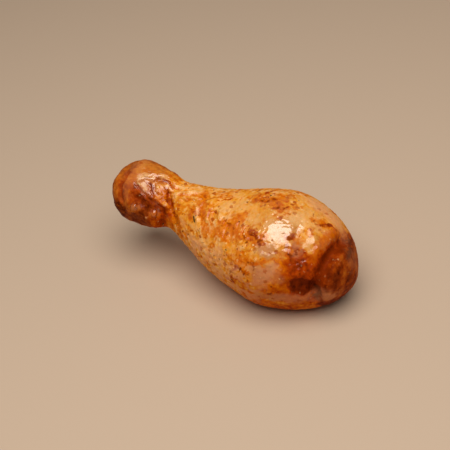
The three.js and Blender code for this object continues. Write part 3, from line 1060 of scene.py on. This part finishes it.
def skin_material(settings):
    """Roast skin with a wet glaze over it, and painted shade on its underside and in its creases."""
    material, surface = new_surface("roast skin")
    calc, mask, step = surface.calc, surface.mask, surface.step
    crumbs = surface.noise({"Scale": 900, "Detail": 3.0, "Roughness": 0.7})
    ragged = calc("MULTIPLY", calc("SUBTRACT", crumbs.outputs["Fac"], 0.5), 0.9)
    inputs = {0: crumbs.outputs["Color"], 1: (0.002, 0.002, 0.002), 2: surface.place()}
    bent = surface.add("ShaderNodeVectorMath", inputs, operation="MULTIPLY_ADD").outputs[0]
    uneven = calc("MULTIPLY_ADD", mask("plain"), -0.75, 1.1)
    colour = roasted_and_shaded_colour(surface, settings, uneven, ragged)
    colour = freckled(surface, settings, colour, uneven, ragged, bent)
    # Painted shade: the under mask multiplies the colour darker on the calf's lower side.
    colour = surface.mix(mask("under"), colour, settings.underside_shade, "MULTIPLY")
    # Painted shade in the creases: the colour pulled towards red-brown there.
    in_crease = calc("MULTIPLY", mask("crease"), 0.55)
    colour = surface.mix(in_crease, colour, settings.red_brown)

    dryness = calc("MULTIPLY_ADD", mask("gloss"), -0.28, 0.56)
    film = surface.grain(900, 3.0, dryness, 0.35).outputs
    ripple = surface.noise({"Scale": 500, "Detail": 3.0, "Distortion": 1.6}).outputs["Fac"]
    wet = calc("MULTIPLY", step(mask("gloss"), 0.3, 1.0), 2.8)
    height = calc("MULTIPLY_ADD", ripple, wet, film["Height"])
    relief = {"Height": height, "Distance": 0.0002, "Strength": 0.8}
    inputs = {
        "Base Color": colour,
        "Roughness": film["Value"],
        "Normal": surface.add("ShaderNodeBump", relief).outputs["Normal"],
        "Coat Weight": step(mask("gloss"), 0.25, 1.0),
        "Coat Roughness": 0.12,
        "Coat IOR": 2.15,
        "Specular IOR Level": 0.03,
        "Subsurface Weight": 0.12,
        "Subsurface Radius": (1.0, 0.35, 0.12),
        "Subsurface Scale": 0.0015,
    }
    surface.feed_all(surface.nodes["Principled BSDF"], inputs)
    return material


class SkinSettings(bpy.types.PropertyGroup):
    grain: FloatProperty(
        name="Grain", description="Size of the skin's faces", default=0.0005, unit="LENGTH", precision=5
    )
    wrinkles: FloatProperty(
        name="Wrinkles", description="How strongly the skin is wrinkled", default=1.0, min=0, max=3
    )
    folds: FloatProperty(
        name="Folds", description="How high the folds and creases are", default=1.0, min=0, max=3
    )
    pale: colour_setting("Pale skin", "Least roasted skin", 238, 180, 114)
    golden: colour_setting("Golden skin", "Lightly roasted skin", 230, 152, 42)
    orange: colour_setting("Orange skin", "Well roasted skin", 207, 105, 0)
    red_brown: colour_setting("Red-brown skin", "Darkly roasted skin", 166, 58, 0)
    char: colour_setting("Charred skin", "Darkest edges", 60, 10, 0)
    # Also the painted reflected light of two rows of PINK.
    pink: colour_setting("Pink skin", "Thin skin with the meat showing", 226, 160, 118)
    # Also painted highlight, painted reflected light and painted shade, in some rows of DULL.
    dull: colour_setting("Greyish skin", "Thin skin over gristle", 182, 120, 82)
    # Also the colour of painted highlights on thin ridges and of pale dots, partly painted glints.
    cream: colour_setting("Cream skin", "Gristle and thin skin on the ridges", 244, 200, 138)
    amber: colour_setting("Amber skin", "Tight skin over the knuckle", 200, 119, 46)
    dark_amber: colour_setting("Dark amber skin", "The same where it is well roasted", 96, 30, 0)
    # Painted shade: a multiply colour that darkens the calf's underside.
    underside_shade: colour_setting("Underside", "Painted shade on the underside", 241, 233, 226)
    paste: colour_setting("Marinade", "Streaks of marinade", 224, 124, 0)
    deep_paste: colour_setting("Thick marinade", "Where it lies thickest", 202, 92, 0)
    freckle: colour_setting("Freckles", "Small browned dots", 172, 76, 4)
    speck: colour_setting("Specks", "Fine specks of spice", 122, 44, 6)


class DRUMSTICK_OT_skin(bpy.types.Operator):
    """Covers the drumstick in folded, browned and glazed skin"""

    bl_idname = "drumstick.skin"
    bl_label = "Roast skin"

    def execute(self, context):
        noise.seed_set(NOISE_SEED)
        settings = context.scene.drumstick_skin
        skin = finer_copy("drumstick", "roast_skin", settings.grain)
        places = Places(skin.data)
        fine, high = wrinkle(skin, places, settings)
        brown_and_shade(skin, places, fine, high)
        choose(skin)
        bpy.ops.object.shade_smooth()
        skin.data.materials.append(skin_material(settings))
        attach(skin, "root")
        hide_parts("drumstick")
        return {"FINISHED"}


# ---- Seasoning ----------------------------------------------------------------------------
def on_skin(tree, x, angle):
    """The point of the skin at a place, and the way it faces there."""
    cos, sin = math.cos(BONE_RISE), math.sin(BONE_RISE)
    middle = mid_line(x)
    side = SIDE_BEND * middle
    start = KNUCKLE + Vector((x * cos + middle * sin, side, middle * cos - x * sin))
    turn = math.radians(angle)
    out = Vector((math.cos(turn) * sin, -math.sin(turn), math.cos(turn) * cos))
    point, facing, _, _ = tree.ray_cast(start / 1000, out)
    return point, facing


def seasoned_places(count, everywhere, sizes, seed):
    """Places, sizes and turns for grains, most of them where the seasoning lies thickest."""
    chance = random.Random(seed)
    shares = [share for *_, share in SEASONED]
    places = []
    while len(places) < count:
        if chance.random() < everywhere:
            x, angle = chance.uniform(-10, 106), chance.uniform(-150, 150)
        else:
            x, angle, along, round_, _ = chance.choices(SEASONED, shares)[0]
            x += chance.gauss(0, STRAY) * along
            half = max(half_thickness(x), 2 * LEAST_HALF)
            angle += math.degrees(chance.gauss(0, STRAY) * round_ / half)
        if -12 < x < 107:
            places.append((x, angle, chance.uniform(*sizes), chance.uniform(0, 6.28)))
    return places


def strew(pattern, places, sink, seed):
    """Lays a copy of one fleck at each place, each turned its own way, as one piece."""
    tree = BVHTree.FromObject(bpy.data.objects["roast_skin"], bpy.context.evaluated_depsgraph_get())
    chance = random.Random(seed)
    choose(pattern)
    for x, angle, size, spin in places:
        point, facing = on_skin(tree, x, angle)
        size /= 1000
        turn = facing.to_track_quat("Z", "Y").to_matrix().to_4x4()
        lean = Euler((chance.gauss(0, LEAN), chance.gauss(0, LEAN), spin))
        copied = bpy.data.objects.new(pattern.name, pattern.data.copy())
        bpy.context.collection.objects.link(copied)
        stretch = Matrix.Diagonal((size, size * chance.uniform(0.75, 1), size, 1))
        at = Matrix.Translation(point - facing * size * sink)
        copied.data.transform(at @ turn @ lean.to_matrix().to_4x4() @ stretch)
        write_mask(copied.data, "tint", np.full(len(copied.data.vertices), chance.random()))
        copied.select_set(True)
    name = pattern.name
    bpy.context.view_layer.objects.active = copied
    bpy.data.objects.remove(pattern)
    bpy.ops.object.join()
    copied.name = name
    return copied


def grain_pattern(name):
    """One cracked grain, 2 across: a rough ball with two sides broken off flat."""
    bpy.ops.object.select_all(action="DESELECT")
    bpy.ops.mesh.primitive_ico_sphere_add(subdivisions=2, radius=1, location=(0, 0, 0))
    grain = bpy.context.object
    grain.name = name
    bpy.ops.object.mode_set(mode="EDIT")
    for side in ((0.8, 0.3, 0.5), (-0.5, 0.7, 0.6)):
        bpy.ops.mesh.select_all(action="SELECT")
        bpy.ops.mesh.bisect(
            plane_co=[0.62 * part for part in side], plane_no=side, use_fill=True, clear_outer=True
        )
    bpy.ops.mesh.select_all(action="SELECT")
    bpy.ops.transform.resize(value=(1, 0.8, 0.6))
    bpy.ops.object.mode_set(mode="OBJECT")
    finish_with(grain, "DECIMATE", ratio=0.5)
    return grain


def leaf_pattern(name):
    """One torn scrap of leaf, 2 long: a curled strip, narrower at its ends."""
    bpy.ops.object.select_all(action="DESELECT")
    bpy.ops.mesh.primitive_grid_add(x_subdivisions=6, y_subdivisions=3, size=2, location=(0, 0, 0))
    leaf = bpy.context.object
    leaf.name = name
    points = read_points(leaf.data)
    along, across = points[:, 0].copy(), points[:, 1].copy()
    points[:, 1] = across * (0.62 - 0.4 * along**2 + 0.08 * np.sin(4 * along)) + 0.12 * along**2
    points[:, 2] = 0.1 - 0.14 * across**2 + 0.06 * np.sin(2.4 * along)
    write_points(leaf.data, points)
    finish_with(leaf, "SOLIDIFY", thickness=0.12, offset=0)
    return leaf


def seasoning_material(name, dark, light, roughness):
    """A dry, grainy surface between two tones, one for each fleck."""
    material, surface = new_surface(name)
    middle = surface.calc("ADD", surface.mask("tint"), 0.3)
    tone = surface.grain(2600, 2.0, middle, 0.6).outputs["Value"]
    inputs = {
        "Base Color": surface.ramp(tone, ((0.0, dark), (1.0, light))),
        "Roughness": roughness,
        "Specular IOR Level": 0.1,
    }
    surface.feed_all(surface.nodes["Principled BSDF"], inputs)
    return material


class SeasoningSettings(bpy.types.PropertyGroup):
    chilli: IntProperty(name="Chilli grains", description="How many grains of chilli", default=320, min=1)
    chilli_size: FloatProperty(
        name="Chilli size", description="Half the width of the largest, in millimetres", default=0.48
    )
    chilli_light: colour_setting("Light chilli", "Lightest grains of chilli", 190, 92, 12)
    chilli_dark: colour_setting("Dark chilli", "Darkest grains of chilli", 104, 42, 4)
    pepper: IntProperty(name="Pepper grains", description="How many grains of pepper", default=44, min=1)
    pepper_size: FloatProperty(
        name="Pepper size", description="Half the width of the largest, in millimetres", default=0.45
    )
    pepper_light: colour_setting("Light pepper", "Lightest grains of pepper", 146, 74, 20)
    pepper_dark: colour_setting("Dark pepper", "Darkest grains of pepper", 96, 44, 10)
    leaves: IntProperty(name="Leaf scraps", description="How many small scraps of leaf", default=6, min=1)
    leaf_size: FloatProperty(
        name="Leaf size", description="Half the length of the largest, in millimetres", default=1.5
    )
    leaf_light: colour_setting("Light leaf", "Lightest scraps of leaf", 98, 76, 40)
    leaf_dark: colour_setting("Dark leaf", "Darkest scraps of leaf", 44, 30, 8)


class DRUMSTICK_OT_chilli(bpy.types.Operator):
    """Strews ground chilli over the skin"""

    bl_idname = "drumstick.chilli"
    bl_label = "Chilli grains"

    def execute(self, context):
        settings = context.scene.drumstick_seasoning
        sizes = (SMALLEST * settings.chilli_size, settings.chilli_size)
        places = seasoned_places(settings.chilli, everywhere=0.3, sizes=sizes, seed=31)
        grains = strew(grain_pattern("chilli_grains"), places, sink=0.42, seed=41)
        tones = (settings.chilli_dark, settings.chilli_light)
        grains.data.materials.append(seasoning_material("ground chilli", *tones, roughness=0.5))
        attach(grains, "root")
        return {"FINISHED"}


class DRUMSTICK_OT_pepper(bpy.types.Operator):
    """Strews cracked pepper over the skin"""

    bl_idname = "drumstick.pepper"
    bl_label = "Pepper grains"

    def execute(self, context):
        settings = context.scene.drumstick_seasoning
        sizes = (SMALLEST * settings.pepper_size, settings.pepper_size)
        places = seasoned_places(settings.pepper, everywhere=0.35, sizes=sizes, seed=32)
        grains = strew(grain_pattern("pepper_grains"), places, sink=0.38, seed=42)
        tones = (settings.pepper_dark, settings.pepper_light)
        grains.data.materials.append(seasoning_material("cracked pepper", *tones, roughness=0.55))
        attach(grains, "root")
        return {"FINISHED"}


class DRUMSTICK_OT_leaves(bpy.types.Operator):
    """Lays scraps of dried leaf on the skin"""

    bl_idname = "drumstick.leaves"
    bl_label = "Leaf scraps"

    def execute(self, context):
        settings = context.scene.drumstick_seasoning
        largest = settings.leaf_size
        x, angle, turn = LARGE_SCRAP
        sizes = [part * largest for part in SMALL_SCRAPS]
        places = [(x, angle, largest, turn)]
        places += seasoned_places(settings.leaves, everywhere=0.4, sizes=sizes, seed=33)
        scraps = strew(leaf_pattern("leaf_scraps"), places, sink=-0.1, seed=43)
        tones = (settings.leaf_dark, settings.leaf_light)
        scraps.data.materials.append(seasoning_material("dried leaf", *tones, roughness=0.6))
        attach(scraps, "root")
        return {"FINISHED"}


# ---- Stage --------------------------------------------------------------------------------
class StageSettings(bpy.types.PropertyGroup):
    floor: FloatVectorProperty(
        name="Floor", description="Colour of the floor", default=(0.58, 0.45, 0.35), subtype="COLOR"
    )
    floor_size: FloatProperty(
        name="Floor size", description="Width of the floor", default=6, unit="LENGTH"
    )
    key: FloatProperty(
        name="Key light", description="Power of the overhead light", default=5.7, unit="POWER"
    )
    key_size: FloatProperty(
        name="Key size", description="Width of the overhead light", default=0.8, unit="LENGTH"
    )
    key_colour: FloatVectorProperty(
        name="Key colour",
        description="Colour of the overhead light",
        default=(1, 0.94, 0.84),
        subtype="COLOR",
    )
    sky: FloatProperty(name="Sky", description="Strength of the light from all round", default=0.19)
    sky_colour: FloatVectorProperty(
        name="Sky colour",
        description="Colour of the light from all round",
        default=(1, 0.88, 0.74),
        subtype="COLOR",
    )
    camera: FloatVectorProperty(
        name="Camera",
        description="Where the camera stands",
        default=(0.2203, -0.3444, 0.3319),
        subtype="TRANSLATION",
    )
    focal: FloatProperty(
        name="Focal length", description="Lens, in millimetres", default=87.9, unit="CAMERA"
    )
    turn: FloatProperty(
        name="Turn",
        description="How far the camera stands round to +X",
        default=math.radians(33),
        unit="ROTATION",
    )
    tilt: FloatProperty(
        name="Tilt",
        description="How far the camera looks down",
        default=math.radians(36.63),
        unit="ROTATION",
    )
    roll: FloatProperty(
        name="Roll",
        description="How far the camera leans",
        default=math.radians(-6.71),
        unit="ROTATION",
    )


def add_floor(settings):
    bpy.ops.object.select_all(action="DESELECT")
    bpy.ops.mesh.primitive_plane_add(size=settings.floor_size, location=(0, 0, 0))
    floor = bpy.context.object
    floor.name = "floor"
    material, surface = new_surface("floor")
    inputs = {"Base Color": settings.floor, "Roughness": 0.8}
    surface.feed_all(surface.nodes["Principled BSDF"], inputs)
    floor.data.materials.append(material)
    return floor


def add_lights(settings):
    bpy.ops.object.light_add(type="AREA", location=CALF + OVERHEAD)
    light = bpy.context.object
    light.name = "key light"
    light.data.shape = "DISK"
    light.data.size = settings.key_size
    light.data.energy = settings.key
    light.data.color = settings.key_colour
    light.rotation_euler = (-OVERHEAD).to_track_quat("-Z", "Y").to_euler()
    world = bpy.data.worlds.new("studio")
    world.use_nodes = True
    sky = Surface(world.node_tree)
    sky.feed_all(sky.nodes["Background"], {"Color": settings.sky_colour, "Strength": settings.sky})
    bpy.context.scene.world = world


def add_camera(settings):
    ahead = Vector((0, math.cos(settings.tilt), -math.sin(settings.tilt)))
    ahead.rotate(Matrix.Rotation(settings.turn, 3, "Z"))
    right = Vector((math.cos(settings.turn), math.sin(settings.turn), 0))
    facing = Matrix((right, right.cross(ahead), -ahead)).transposed()
    facing = facing @ Matrix.Rotation(settings.roll, 3, "Z")
    bpy.ops.object.camera_add()
    camera = bpy.context.object
    camera.name = "camera"
    camera.data.lens = settings.focal
    camera.data.sensor_width = SENSOR_WIDTH
    camera.matrix_world = Matrix.Translation(settings.camera) @ facing.to_4x4()
    return camera


class DRUMSTICK_OT_stage(bpy.types.Operator):
    """Adds the floor, the soft lights and the camera"""

    bl_idname = "drumstick.stage"
    bl_label = "Stage"

    def execute(self, context):
        settings = context.scene.drumstick_stage
        floor = add_floor(settings)
        add_lights(settings)
        context.scene.view_settings.view_transform = "Standard"
        context.scene.camera = add_camera(settings)
        return {"FINISHED"}


class DRUMSTICK_PT_panel(bpy.types.Panel):
    """Lists the drumstick's pieces and settings"""

    bl_idname = "DRUMSTICK_PT_panel"
    bl_label = "Drumstick"
    bl_space_type = "VIEW_3D"
    bl_region_type = "UI"
    bl_category = "Drumstick"

    def draw(self, context):
        for operators, settings in (
            ((DRUMSTICK_OT_skin,), "drumstick_skin"),
            ((DRUMSTICK_OT_chilli, DRUMSTICK_OT_pepper, DRUMSTICK_OT_leaves), "drumstick_seasoning"),
            ((DRUMSTICK_OT_stage,), "drumstick_stage"),
        ):
            box = self.layout.box()
            for operator in operators:
                box.operator(operator.bl_idname)
            group = getattr(context.scene, settings)
            for name in group.bl_rna.properties.keys():
                if name not in ("rna_type", "name"):
                    box.prop(group, name)


CLASSES = (
    SkinSettings,
    SeasoningSettings,
    StageSettings,
    DRUMSTICK_OT_skin,
    DRUMSTICK_OT_chilli,
    DRUMSTICK_OT_pepper,
    DRUMSTICK_OT_leaves,
    DRUMSTICK_OT_stage,
    DRUMSTICK_PT_panel,
)


def register():
    for cls in CLASSES:
        bpy.utils.register_class(cls)
    bpy.types.Scene.drumstick_skin = PointerProperty(type=SkinSettings)
    bpy.types.Scene.drumstick_seasoning = PointerProperty(type=SeasoningSettings)
    bpy.types.Scene.drumstick_stage = PointerProperty(type=StageSettings)


def unregister():
    del bpy.types.Scene.drumstick_stage
    del bpy.types.Scene.drumstick_seasoning
    del bpy.types.Scene.drumstick_skin
    for cls in reversed(CLASSES):
        bpy.utils.unregister_class(cls)


def main():
    register()
    bpy.ops.drumstick.skin()
    bpy.ops.drumstick.chilli()
    bpy.ops.drumstick.pepper()
    bpy.ops.drumstick.leaves()
    bpy.ops.drumstick.stage()


if __name__ == "__main__":
    main()
